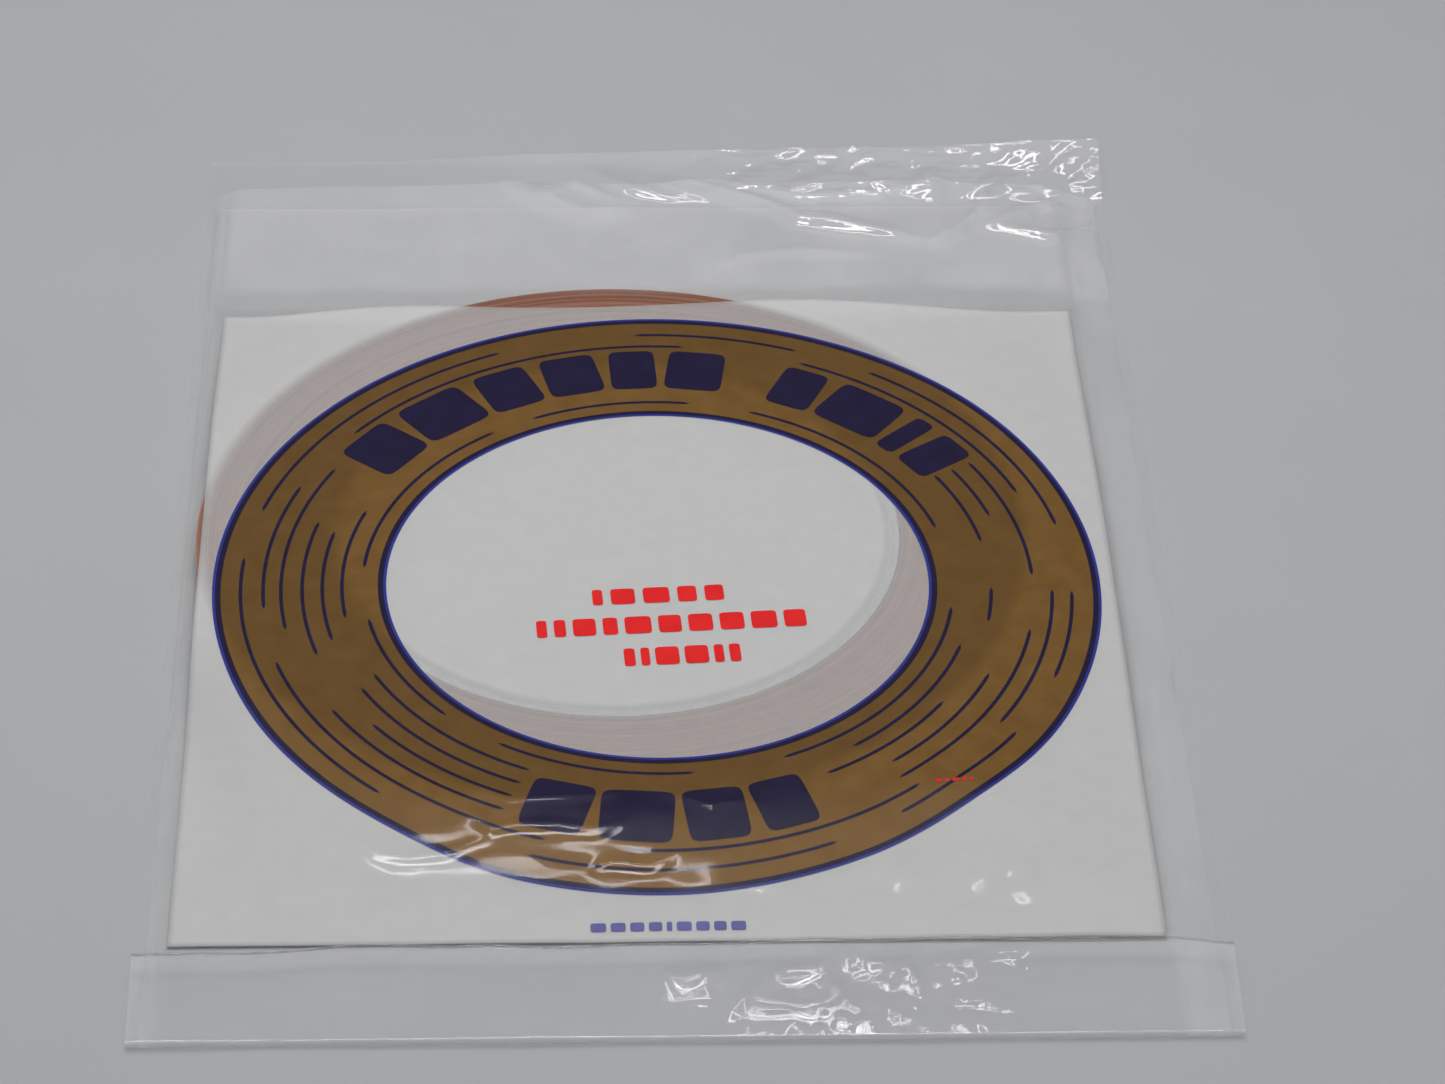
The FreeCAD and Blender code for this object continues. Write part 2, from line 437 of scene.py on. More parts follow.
def floor_material():
    """Plain pale grey paper."""
    n = Nodes("floor_paper")
    colour = n.ramp(n.noise(25.0, 3.0), [(0.3, (0.343, 0.348, 0.355)), (0.7, (0.352, 0.357, 0.364))])
    return n.finish(n.add("BsdfPrincipled", Base_Color=colour, Roughness=0.8).outputs[0])


FRONT_FILM = film_material("front_film_plastic", haze=0.13, clings=True, grain=0.0)
BACK_FILM = film_material("back_film_plastic", haze=0.24, clings=True)
LIP_FILM = film_material("lip_film_plastic", haze=0.075, gloss=1.0, grain=0.10)
FLAP_FILM = film_material("flap_film_plastic", haze=0.035, gloss=0.55, grain=0.03)
FLAP_WELD_FILM = film_material("flap_weld_plastic", haze=0.05, gloss=0.45, grain=0.1)
WELD_FILM = film_material("weld_film_plastic", haze=0.09, clear=0.98, gloss=0.9, grain=0.3)
# The fold and the free edge let less light through (clear below 1): painted shade for the dark line that
# refraction gives where film turns round an edge.
FOLD_FILM = film_material("fold_film_plastic", haze=0.06, clear=0.93, gloss=0.9)
EDGE_FILM = film_material("edge_film_plastic", haze=0.05, clear=0.8, gloss=1.6)
CARD_PAPER = paper_card_material()
GOLD_INK = ink_material("gold_ink", (0.150, 0.074, 0.015), (0.186, 0.098, 0.023), metallic=0.1,
                        roughness=0.42, see_through=0.13)
BLUE_INK = ink_material("blue_ink", (0.016, 0.022, 0.19), (0.024, 0.032, 0.25), roughness=0.4)
NAVY_INK = ink_material("navy_ink", (0.006, 0.003, 0.024), (0.010, 0.006, 0.036), roughness=0.4)
RED_INK = ink_material("red_ink", (0.60, 0.006, 0.007), (0.68, 0.012, 0.012), roughness=0.5)
LINE_INK = ink_material("small_blue_ink", (0.10, 0.095, 0.26), (0.13, 0.12, 0.32), roughness=0.5)


# --- The card's drape and the film over it ----------------------------------------------------------

CARD_REST_Z = ROLL_TOP + 0.16  # the card's top where it lies on the roll
CARD_FLAT_Z = 0.42  # and where it lies on the back film


# How far past the roll's rim the card comes down, in millimetres, by direction from the roll in degrees.
# Paper bends only one way at a time, so it falls quickly in some directions and stays up like a tent in others.
FALL_ANGLES = [-180, -150, -140, -127, -118, -111, -105, -85, -75, -65, -58, -50, -44, -38, -30, -10, 20,
               90, 150]
FALL_LENGTHS = [20, 13, 15, 28, 33, 22, 17, 20, 24, 32, 42, 58, 54, 38, 36, 30, 26, 20, 20]
FALL_START = 0.6  # past the rim
TENT_DIRECTION, TENT_HALF_ANGLE, TENT_HEIGHT = -50.0, 7, 0.7  # the highest of these
LIFT_DIRECTION, LIFT_HALF_ANGLE, LIFT_HEIGHT = 40, 25, 0.3  # the far right corner stands off the roll
RIPPLE_HEIGHT, RIPPLE_LENGTH = 0.10, 26.0


def around(direction, centre, half_angle):
    """1 in one direction from the roll and softly 0 away from it; all in degrees."""
    return np.exp(-(((direction - centre) / half_angle) ** 2))


def card_top(x, y):
    """Height of the card's top: flat over the roll, bent down around it in soft waves."""
    dx, dy = x - ROLL_X, y - ROLL_Y
    past_rim = np.hypot(dx, dy) - ROLL_RADIUS
    angle = np.degrees(np.arctan2(dy, dx))
    nearby = [np.interp(angle + turn, FALL_ANGLES, FALL_LENGTHS, period=360) for turn in (-4, -2, 0, 2, 4)]
    bend = smooth_step((past_rim - FALL_START) / (sum(nearby) / len(nearby)))
    ripple = RIPPLE_HEIGHT * waves(x, y, RIPPLE_LENGTH, 5, 1) * smooth_step(past_rim / 10)
    tent = TENT_HEIGHT * around(angle, TENT_DIRECTION, TENT_HALF_ANGLE) * smooth_step((past_rim - 2) / 11)
    tent *= smooth_step((34 - past_rim) / 16)
    lift = LIFT_HEIGHT * around(angle, LIFT_DIRECTION, LIFT_HALF_ANGLE) * smooth_step((past_rim + 6) / 10)
    return CARD_REST_Z + (CARD_FLAT_Z - CARD_REST_Z) * bend + np.abs(ripple) * bend + tent + lift


CARD_STEP = 0.9  # between the points of its mesh
DRAWN_BACK = 2.5
DRAWN_BACK_X, DRAWN_BACK_HALF_WIDTH = -16, 30


def card_piece():
    """The card as one closed sheet of paper, at its real thickness.

    Its far edge is drawn back a little in the middle, where the roll lifts it.
    """
    columns = int((CARD_HIGH[0] - CARD_LOW[0]) / CARD_STEP) + 1
    rows = int((CARD_HIGH[1] - CARD_LOW[1]) / CARD_STEP) + 1
    x, y = np.meshgrid(np.linspace(CARD_LOW[0], CARD_HIGH[0], columns),
                       np.linspace(CARD_LOW[1], CARD_HIGH[1], rows))
    drawn = DRAWN_BACK * np.exp(-(((x - DRAWN_BACK_X) / DRAWN_BACK_HALF_WIDTH) ** 2))
    y = y - drawn * smooth_step((y - 25) / 30)
    piece = thick_sheet("card_sheet", x, y, card_top(x, y), CARD_THICKNESS, CARD_PAPER, "card")
    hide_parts("printed_card")


# --- Print: thin ink shapes that follow the card -----------------------------------------------------

RING_X, RING_Y = -1.85, -10.35  # centre of the printed ring, from the bag's centre
RING_OUTER, RING_INNER = 60.1, 37.35
OUTLINE_ON_PAPER = 0.4  # width of the blue outlines outside the gold
OUTLINE_ON_GOLD = 0.75  # and over it
GROOVE = 0.5  # width of the fine arcs
INK_LIFT = 0.025  # each ink lies this far above what it is printed on


def ring_point(radius, angle):
    """A point about the printed ring's centre; the angle is in radians from +X."""
    return RING_X + radius * np.cos(angle), RING_Y + radius * np.sin(angle)


def ink_patch(x, y, layer):
    """A grid of points lifted onto the card, as one printed patch: points and quads."""
    z = card_top(x, y) + INK_LIFT * layer
    return np.stack([x, y, z], -1).reshape(-1, 3), grid_faces(*x.shape)


def ink_piece(name, patches, material):
    """Several printed patches as one piece that rides with the card."""
    points, faces, start = [], [], 0
    for patch_points, patch_faces in patches:
        points.append(patch_points)
        faces.append(patch_faces + start)
        start += len(patch_points)
    return make_piece(name, np.concatenate(points), np.concatenate(faces), material, "card")


def arc_patch(inner, outer, start, end, layer, step=0.8, rounded=False):
    """Part of a ring between two radii and two angles in radians, its ends rounded if asked."""
    along = max(3, int(abs(end - start) * outer / step) + 1)
    across = max(2, int((outer - inner) / step) + 1)
    angle, share = np.meshgrid(np.linspace(start, end, along), np.linspace(0, 1, across), indexing="ij")
    middle, half = (inner + outer) / 2, (outer - inner) / 2
    if rounded:
        from_end = np.minimum(angle - start, end - angle) * middle
        half = half * np.sqrt(np.clip(1 - (1 - np.clip(from_end / (0.9 * half), 0, 1)) ** 2, 0.02, 1))
    x, y = ring_point(middle + (share * 2 - 1) * half, angle)
    return ink_patch(x, y, layer)


def block_patch(centre, width, height, tilt, layer, step=0.7):
    """A rounded block about a centre, turned by tilt radians."""
    columns, rows = max(4, int(width / step) + 1), max(4, int(height / step) + 1)
    u, v = np.meshgrid(np.linspace(-1, 1, columns), np.linspace(-1, 1, rows))
    squircle = 1 / np.maximum((np.abs(u) ** 8 + np.abs(v) ** 8) ** 0.125, 1e-6)
    reach = np.maximum(np.abs(u), np.abs(v))
    u, v = u * squircle * reach, v * squircle * reach
    a, b = u * width / 2, v * height / 2
    x = centre[0] + a * math.cos(tilt) - b * math.sin(tilt)
    y = centre[1] + a * math.sin(tilt) + b * math.cos(tilt)
    return ink_patch(x, y, layer)


def ring_blocks(widths, radius, height, middle_deg, gap, outward=True):
    """Blocks in a row around the ring, in place of its words."""
    total = sum(widths) + gap * (len(widths) - 1)
    angle = math.radians(middle_deg) + (total / 2) / radius * (1 if outward else -1)
    patches = []
    for width in widths:
        half = width / 2 / radius * (-1 if outward else 1)
        angle += half
        tilt = angle - math.pi / 2 if outward else angle + math.pi / 2
        patches.append(block_patch(ring_point(radius, angle), width, height, tilt, 3))
        angle += half + gap / radius * (-1 if outward else 1)
    return patches


def row_blocks(widths, middle, height, gap, tilt, layer=2):
    """Blocks in a straight row, in place of a line of print."""
    total = sum(widths) + gap * (len(widths) - 1)
    place = -total / 2
    patches = []
    for width in widths:
        place += width / 2
        centre = (middle[0] + place * math.cos(tilt), middle[1] + place * math.sin(tilt))
        patches.append(block_patch(centre, width, height, tilt, layer, step=0.5))
        place += width / 2 + gap
    return patches


BLOCK_RADIUS, BLOCK_HEIGHT = 48.0, 9.0
BLOCK_SPANS = ((33.0, 66.0), (78.0, 147.0), (249.0, 292.0))  # degrees that the blocks take up
BLOCK_MARGIN, BLOCK_MARGIN_DEG = 1.2, 3  # kept clear around them
ARC_SPACING = 2.75
ARC_LENGTHS, ARC_GAPS = (22, 58), (9, 24)  # in degrees
ARC_SHORTEST = 7


def groove_arcs():
    """Fine arcs like the edges of wound tape, in seeded lengths, kept clear of the blocks."""
    rng = np.random.default_rng(SEED)
    patches = []
    block_low = BLOCK_RADIUS - BLOCK_HEIGHT / 2 - BLOCK_MARGIN
    block_high = BLOCK_RADIUS + BLOCK_HEIGHT / 2 + BLOCK_MARGIN
    for radius in np.arange(RING_INNER + 2.7, RING_OUTER - 2.0, ARC_SPACING):
        angle = rng.uniform(0, 25)
        while angle < 350:
            end = min(angle + rng.uniform(*ARC_LENGTHS), 357)
            for low, high in BLOCK_SPANS:
                low, high = low - BLOCK_MARGIN_DEG, high + BLOCK_MARGIN_DEG
                if block_low < radius < block_high and angle < high and end > low:
                    end = min(end, low) if angle < low else angle
            if end - angle > ARC_SHORTEST:
                middle = radius + rng.uniform(-0.2, 0.2)
                patches.append(arc_patch(middle - GROOVE / 2, middle + GROOVE / 2, math.radians(angle),
                                         math.radians(end), 2, rounded=True))
                angle = end
            angle += rng.uniform(*ARC_GAPS)
    return patches


def print_pieces():
    """Everything printed on the card. Plain blocks stand where the words are."""
    ink_piece("print_gold_ring", [arc_patch(RING_INNER, RING_OUTER, 0, TURN, 1)], GOLD_INK)
    # The blue outlines look navy where they lie over the gold, and blue where they lie on bare paper.
    ink_piece("print_blue_outlines",
              [arc_patch(RING_OUTER, RING_OUTER + OUTLINE_ON_PAPER, 0, TURN, 2),
               arc_patch(RING_INNER - OUTLINE_ON_PAPER, RING_INNER, 0, TURN, 2)], BLUE_INK)
    ink_piece("print_navy_outlines",
              [arc_patch(RING_OUTER - OUTLINE_ON_GOLD, RING_OUTER, 0, TURN, 2),
               arc_patch(RING_INNER, RING_INNER + OUTLINE_ON_GOLD, 0, TURN, 2)], NAVY_INK)
    ink_piece("print_groove_arcs", groove_arcs(), NAVY_INK)
    top = ring_blocks([9.2, 10.6, 8.0, 8.0, 6.6, 8.2], BLOCK_RADIUS, BLOCK_HEIGHT, 112.5, 1.6)
    top += ring_blocks([6.6, 10.6, 3.2, 6.0], BLOCK_RADIUS, BLOCK_HEIGHT, 49.5, 1.6)
    bottom = ring_blocks([8.4, 9.6, 8.0, 7.2], BLOCK_RADIUS, BLOCK_HEIGHT, 270.5, 1.4, outward=False)
    ink_piece("print_ring_blocks", top + bottom, NAVY_INK)
    # Each row: widths of its blocks, middle, height, gap and tilt.
    tilt = math.radians(3.5)
    red = row_blocks([1.4, 3.3, 3.6, 2.6, 2.6], (-1.9, -13.8), 3.3, 1.1, tilt)
    red += row_blocks([1.4, 1.6, 3.1, 2.0, 3.6, 3.1, 3.3, 3.3, 3.5, 3.0], (-0.2, -19.9), 3.6, 0.95, tilt)
    red += row_blocks([1.5, 1.2, 3.2, 3.2, 1.3, 1.5], (1.1, -26.5), 3.7, 0.75, tilt)
    red += row_blocks([0.9, 0.5, 0.9, 0.6, 0.4], (35.6, -52.4), 0.6, 0.4, math.radians(4), layer=3)
    ink_piece("print_red_blocks", red, RED_INK)
    small = row_blocks([2.0, 1.9, 1.8, 1.7, 0.7, 1.9, 1.7, 1.6, 1.9], (-1.9, -75.9), 1.6, 0.55,
                       math.radians(0.3))
    ink_piece("print_small_blocks", small, LINE_INK)


# --- The roll ----------------------------------------------------------------------------------------

SPIRAL_STEPS = 144  # points in each turn
GROUP_SAG, TURN_SAG = 0.10, 0.05  # how far groups of turns, and single turns, lie below the highest
ADHESIVE_SAG = 0.04  # the adhesive stops short of the foil's edge


def spiral_layer(node, name, offset, thickness, material):
    """One layer of the tape at its real pitch, wound on edge, with turns that stand a little proud or low."""
    start = CORE_RADIUS + 0.05
    pitch = (ROLL_RADIUS - start) / REAL_TURNS
    turns = np.arange(0, REAL_TURNS * SPIRAL_STEPS) / SPIRAL_STEPS
    angle = turns * TURN
    inner = start + offset + pitch * turns
    rng = np.random.default_rng(SEED + 3)
    proud = np.interp(turns, np.arange(REAL_TURNS + 2), rng.uniform(0, 1, REAL_TURNS + 2) ** 2)
    group = np.interp(turns, np.arange(0, REAL_TURNS + 8, 4), rng.uniform(0, 1, (REAL_TURNS + 11) // 4))
    sag = GROUP_SAG * (1 - group) + TURN_SAG * (1 - proud)
    if node == "adhesive_layer":
        sag = sag + ADHESIVE_SAG
    bottom, top = ROLL_BOTTOM + 0 * sag, ROLL_TOP - sag
    points = []
    for radius, z in ((inner, bottom), (inner + thickness, bottom), (inner + thickness, top), (inner, top)):
        points.append(np.stack([ROLL_X + radius * np.cos(angle), ROLL_Y + radius * np.sin(angle), z], -1))
    points = np.stack(points, 1)
    count = len(angle)
    faces = grid_faces(count, 4, wrap_columns=True).tolist()
    last = (count - 1) * 4
    faces += [[3, 2, 1, 0], [last, last + 1, last + 2, last + 3]]
    piece = make_piece(name, points.reshape(-1, 3), faces, material, "roll", smooth=False)
    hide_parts(node)


CORE_EDGE_ROUND = 0.18


def core_piece():
    """The core: a ring of board with softened edges."""
    inner, outer, soft = CORE_RADIUS - CORE_WALL, CORE_RADIUS, CORE_EDGE_ROUND
    corners = [(inner, ROLL_BOTTOM, 180), (outer, ROLL_BOTTOM, 270),
               (outer, ROLL_TOP, 0), (inner, ROLL_TOP, 90)]
    section = []
    for radius, z, start in corners:
        cr = radius + (soft if radius == inner else -soft)
        cz = z + (soft if z == ROLL_BOTTOM else -soft)
        for k in range(5):
            a = math.radians(start + 22.5 * k)
            section.append((cr + soft * math.cos(a), cz + soft * math.sin(a)))
    section = np.array(section)
    steps = 256
    angle = np.linspace(0, TURN, steps, endpoint=False)[:, None]
    x = ROLL_X + section[:, 0] * np.cos(angle)
    y = ROLL_Y + section[:, 0] * np.sin(angle)
    z = section[:, 1] + 0 * angle
    faces = grid_faces(steps, len(section), wrap_rows=True, wrap_columns=True)
    piece = make_piece("core_board_ring", np.stack([x, y, z], -1).reshape(-1, 3), faces[:, ::-1],
                       core_material(), "roll")
    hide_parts("core_ring")


# --- Creases in the film -----------------------------------------------------------------------------

def crease(x, y, points, height, width):
    """A pinched ridge along a line of points, highest in its middle and fading at both ends."""
    points = np.array(points, float)
    lengths = np.hypot(*np.diff(points, axis=0).T)
    total = lengths.sum()
    best = np.full(x.shape, 1e9)
    along = np.zeros(x.shape)
    done = 0.0
    for a, b, length in zip(points[:-1], points[1:], lengths):
        t = np.clip(((x - a[0]) * (b[0] - a[0]) + (y - a[1]) * (b[1] - a[1])) / length**2, 0, 1)
        distance = np.hypot(x - a[0] - t * (b[0] - a[0]), y - a[1] - t * (b[1] - a[1]))
        nearer = distance < best
        best = np.where(nearer, distance, best)
        along = np.where(nearer, (done + t * length) / total, along)
        done += length
    fade = np.sqrt(np.clip(np.sin(np.pi * np.clip(along, 0.02, 0.98)), 0, 1))
    return height * fade * np.exp(1 - np.sqrt(1 + (best / width * 2.2) ** 2))


# Lines that the film is pinched along, in millimetres from the bag's centre: points, height and width.
FAR_CREASES = [
    ([(-10, 92), (0.5, 86.3), (15.5, 79), (21.4, 74.6), (32, 71.6), (41.4, 68.9)], 0.95, 2.6),
    ([(41, 68.8), (45, 71.5), (48.5, 76), (53, 85)], 0.9, 2.4),
    ([(42, 90), (42.6, 80), (42.2, 69.5)], 0.8, 2.2),
    ([(-2, 91), (9.7, 84.4), (21.7, 80.2), (34, 81), (41.5, 84.5)], 0.6, 2.0),
    ([(50, 73.1), (58, 78.5), (66, 81)], 0.8, 2.2),
    ([(50, 73), (60.5, 71), (66.5, 76)], 0.8, 2.2),
    ([(-25.5, 86), (-18.5, 81.5), (-11.5, 76.5), (-5, 77)], 0.9, 4.2),
    ([(-18, 80), (-12.5, 84), (-5, 78)], 0.6, 2.4),
    ([(7.5, 62.5), (12, 65.7), (21, 67), (33, 65.3)], 0.45, 2.6),
    ([(54, 88), (60, 83), (66, 85)], 0.7, 1.8),
]


NEAR_FILM_CREASES = [
    ([(-46, -57), (-44, -59.5), (-39, -64), (-34.5, -64.7), (-30, -64), (-25, -62)], 0.2, 1.1),
    ([(-28, -55), (-26, -54), (-22, -55.3), (-16, -55), (-8, -54.4)], 0.32, 1.1),
    ([(-28, -56.5), (-24, -60.3), (-21, -59.8), (-16, -60), (-11, -60.8), (-7, -60)], 0.3, 1.1),
    ([(-11.5, -67), (-8.5, -66), (-4, -66.8), (-1, -65)], 0.2, 1.0),
    ([(-1.5, -54.5), (4, -56.8), (8.5, -55.7)], 0.32, 1.1),
]


FILM_LIFT = 0.28  # the front film, above what it lies on
FILM_STEP = 0.5  # between the points of its mesh
HINGE_STEP = 0.3  # where the bag's films start, past the fold
ABOVE_CAD = 0.6  # how far creased film may stand above the CAD model
CRUSHED_SPOT, CRUSHED_REACH = (36, -70), (26, 9)  # film crushed over the card's near right corner
RIDGES_X, RIDGE_HEIGHT, RIDGE_HALF_WIDTH = (-66.0, 62.2, 64.6), 0.14, 0.55  # beside the welds


def film_base(x, y):
    """The front film without its creases: it lies over the card, and leaves the way out to the mouth clear.

    Rows run along Y. Towards the mouth the film keeps the height of what slides out under it.
    """
    over_card = np.where((x > CARD_LOW[0] - 1) & (x < CARD_HIGH[0] + 1.0) & (y > CARD_LOW[1] - 1),
                         card_top(x, y), 0.25)
    over_roll = np.where(np.hypot(x - ROLL_X, y - ROLL_Y) < ROLL_RADIUS + 0.4, CARD_REST_Z, 0.25)
    return np.maximum.accumulate(np.maximum(over_card, over_roll), axis=0)


def blurred(field, rounds):
    """A field smoothed by averaging with its neighbours."""
    for _ in range(rounds):
        padded = np.pad(field, 1, mode="edge")
        field = (padded[:-2, 1:-1] + padded[2:, 1:-1] + padded[1:-1, :-2] + padded[1:-1, 2:]) / 4
    return field


def near_zone(x, y, centre, reach):
    """1 in the middle of an oval and softly 0 outside it."""
    return smooth_step(1.6 * (1 - np.hypot((x - centre[0]) / reach[0], (y - centre[1]) / reach[1])))


def crumple(x, y, scale, seed):
    """Ridges like crushed film: creases where two soft fields cross zero."""
    first = waves(x, y, scale, 6, seed)
    second = waves(x, y, scale * 0.6, 6, seed + 1)
    return np.sqrt(first**2 + 0.02) * 0.6 + np.sqrt(second**2 + 0.02) * 0.4


def film_waves(x, y):
    """The front film's lift at the mouth, its slow waves, and its fine ones, stronger towards the fold."""
    off_roll = 1 - smooth_step((ROLL_RADIUS + 6 - np.hypot(x - ROLL_X, y - ROLL_Y)) / 12)
    z = 0.55 * smooth_step((y - 58) / 26) * smooth_step((60 - np.abs(x + 4)) / 30)
    z += 0.10 * waves(x, y, 34.0, 6, 11) * off_roll + 0.025 * waves(x, y, 22.0, 6, 12)
    past_roll = smooth_step((-38 - y) / 14) * (1 - near_zone(x, y, CRUSHED_SPOT, CRUSHED_REACH))
    fine = 0.024 * waves(x, y, 10.0, 7, 14) + 0.011 * waves(x, y, 5.0, 7, 15)
    z += fine * (0.15 + 0.85 * past_roll)
    by_fold = smooth_step((-62 - y) / 14) * smooth_step((66 - np.abs(x)) / 10) * smooth_step((x + 40) / 40)
    return z + by_fold * (0.2 + 0.2 * waves(x, y, 30.0, 5, 13))


def film_crumples(x, y):
    """Crushed film at the card's near right corner and the mouth's right, and ripples beside the card."""
    z = 0.22 * crumple(x, y, 9.0, 16) * near_zone(x, y, CRUSHED_SPOT, CRUSHED_REACH)
    far_right = smooth_step((y - 66) / 12) * smooth_step((x - 8) / 30)
    z += far_right * (0.42 * crumple(x, y, 14.0, 21) + 0.09 * crumple(x, y, 6.0, 23))
    z += 0.03 * crumple(x, y, 3.2, 25) * far_right * smooth_step((x - 40) / 14)
    past_edge = np.maximum(x - CARD_HIGH[0], CARD_LOW[0] - x)
    ripples = 0.12 + 0.17 * waves(0.35 * x, y, 10.0, 6, 26) + 0.05 * waves(x, y, 4.5, 6, 27)
    return z + smooth_step((past_edge - 0.5) / 2) * ripples


def film_creases(x, y):
    """The pinched lines of the front film, and the long ridges beside its welds."""
    z = np.zeros(x.shape)
    for points, height, width in FAR_CREASES:
        z += crease(x, y, points, 1.15 * height, 0.8 * width)
    for points, height, width in NEAR_FILM_CREASES:
        z += crease(x, y, points, height, width)
    for ridge_x in RIDGES_X:
        wander = 0.35 * waves(y, 0 * y, 60.0, 3, 17)
        z += RIDGE_HEIGHT * np.exp(-(((x - ridge_x - wander) / RIDGE_HALF_WIDTH) ** 2))
    return z


def front_film_piece():
    """The front film: over the contents, down to the welds and the fold, and creased at the mouth."""
    columns = int(2 * INSIDE_X / FILM_STEP) + 1
    rows = int((MOUTH_Y - FOLD_Y) / FILM_STEP) + 1
    x, y = np.meshgrid(np.linspace(-INSIDE_X, INSIDE_X, columns),
                       np.linspace(FOLD_Y + HINGE_STEP, MOUTH_Y, rows))
    base = film_base(x, y)
    z = np.maximum(blurred(base, 60), blurred(base, 8)) + FILM_LIFT
    z += film_waves(x, y) + film_crumples(x, y) + film_creases(x, y)
    to_weld = smooth_step((INSIDE_X - np.abs(x)) / 1.1)
    to_fold = smooth_step((y - FOLD_Y) / 14.0)
    z = 0.3 + (z - 0.3) * to_weld * to_fold
    # Under the folded-over strip the film stays below the strip's lowest pose.
    under_flap = HINGE[2] + np.maximum(0, y - HINGE[1]) * np.tan(math.radians(2.4)) - 0.34
    z = np.where(y < FLAP_HIGH[1] + 1.8, np.minimum(z, under_flap), z)
    z = np.clip(z, FILM_LIFT, CAD_HIGH[2] / MM + ABOVE_CAD)
    piece = sheet("front_film", x, y, z, FRONT_FILM, "bag")
    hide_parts("bag_front_film")


def back_film_piece():
    """The back film: flat on what the bag lies on, from the fold to the mouth."""
    step = 1.5
    columns, rows = int(2 * INSIDE_X / step) + 1, int((MOUTH_Y - FOLD_Y) / step) + 1
    x, y = np.meshgrid(np.linspace(-INSIDE_X, INSIDE_X, columns),
                       np.linspace(FOLD_Y + HINGE_STEP, MOUTH_Y, rows))
    z = 0.10 + 0.05 * waves(x, y, 28.0, 6, 31)
    piece = sheet("back_film", x, y, np.clip(z, 0.02, 0.2), BACK_FILM, "bag")
    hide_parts("bag_back_film")


# How far the lip's free edge rises, by place across the bag.
LIP_X = [-68, -39, -21, 8, 46, 68]
LIP_RISE = [0.25, 0.5, 1.7, 2.2, 2.6, 4.2]
LIP_STEP = 0.3


def lip_piece():
    """The lip: the back film past the mouth. It rises towards its right corner and is crushed there.
    """
    columns = int(2 * BAG_HALF_WIDTH / LIP_STEP) + 1
    rows = int((LIP_Y - MOUTH_Y) / LIP_STEP) + 1
    x, y = np.meshgrid(np.linspace(-BAG_HALF_WIDTH, BAG_HALF_WIDTH, columns),
                       np.linspace(MOUTH_Y, LIP_Y, rows))
    out = (y - MOUTH_Y) / (LIP_Y - MOUTH_Y)
    z = 0.12 + out**1.3 * np.interp(x, LIP_X, LIP_RISE)
    crushed = smooth_step((x + 10) / 40)
    inner = smooth_step(out * 2.2)
    z += crushed * inner * (0.55 * crumple(x, y, 11.0, 41) + 0.16 * crumple(x, y, 5.5, 43))
    z += smooth_step((x - 44) / 14) * inner * 0.05 * crumple(x, y, 2.6, 45)
    z += 0.15 * waves(x, y, 24.0, 6, 42) * out
    for points, height, width in FAR_CREASES:
        z += crease(x, y, points, height, width) * smooth_step(out * 3)
    z = np.clip(z, 0.06, CAD_HIGH[2] / MM + ABOVE_CAD)
    piece = sheet("bag_lip", x, y, z, LIP_FILM, "bag")
    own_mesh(piece)


def weld_strip(x, y, z, across, along):
    """Height of a weld: a flat strip with two rows of small pressed dots."""
    dot_pitch, dot_height = 1.1, 0.04
    dots = np.zeros(x.shape)
    for row in (0.3, 0.72):
        dots += np.exp(-(((across - row) * 7) ** 2)) * (0.5 + 0.5 * np.cos(along * TURN / dot_pitch))
    return z + dot_height * dots


def bag_weld(node, low_x, high_x):
    """A side weld of the bag."""
    columns, rows = 8, int((MOUTH_Y - FOLD_Y) / 0.28) + 1
    x, y = np.meshgrid(np.linspace(low_x, high_x, columns), np.linspace(FOLD_Y + HINGE_STEP, MOUTH_Y, rows))
    across = (x - low_x) / (high_x - low_x)
    edge = 0.06 * waves(y, 0 * y, 30.0, 5, 51)
    z = weld_strip(x, y, 0.2 + 0.06 * waves(x, y, 22.0, 5, 52), across, y)
    piece = sheet(node + "_strip", x + edge, y, z, WELD_FILM, "bag")
    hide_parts(node)


# --- The folded-over strip ---------------------------------------------------------------------------

def flap_height(x, share):
    """Height of the strip above its hinge line at a share of its length: it springs up and bellies."""
    belly = 0.06 * np.sin(np.pi * np.clip(share, 0, 1)) * (1 + 0.4 * waves(x, 0 * x, 46.0, 4, 61))
    edge_wave = 0.22 * waves(x, 0 * x, 24.0, 5, 62) * share**2
    return FLAP_SLOPE * share * FLAP_REACH + belly + edge_wave


# How far the free edge lies past its mean line, in millimetres, by place across the bag.
EDGE_X = [-68, -50, -38, -20, 0, 20, 33, 46, 60, 68]
EDGE_OUT = [-0.9, -0.6, 0.5, -0.4, 0.2, 0.7, 1.0, 0.5, 0.7, -1.0]
EDGE_MEAN = -0.4  # the mean line, from the CAD strip's end


def edge_out(x):
    """How far the free edge wanders from straight: film that was never pressed flat."""
    nearby = [np.interp(x + offset, EDGE_X, EDGE_OUT) for offset in (-4, -2, 0, 2, 4)]
    return EDGE_MEAN + sum(nearby) / len(nearby) + 0.12 * waves(x, 0 * x, 12.0, 4, 63)


NEAR_CREASES = [
    ([(7, -90.5), (10.5, -87), (16, -86), (19.5, -83.5)], 0.5, 1.6),
    ([(7, -90.7), (14, -91.8), (21, -90.8)], 0.45, 1.6),
    ([(17, -84), (17.4, -88), (20, -90.5)], 0.45, 1.5),
    ([(20, -84), (25, -85.5), (30, -83)], 0.45, 1.5),
    ([(24, -88), (27.5, -86), (29, -89)], 0.4, 1.4),
    ([(33, -84.5), (39, -83.5), (49, -81.5)], 0.45, 1.6),
    ([(-3, -86), (0, -87.5), (4, -85.5)], 0.45, 1.8),
]


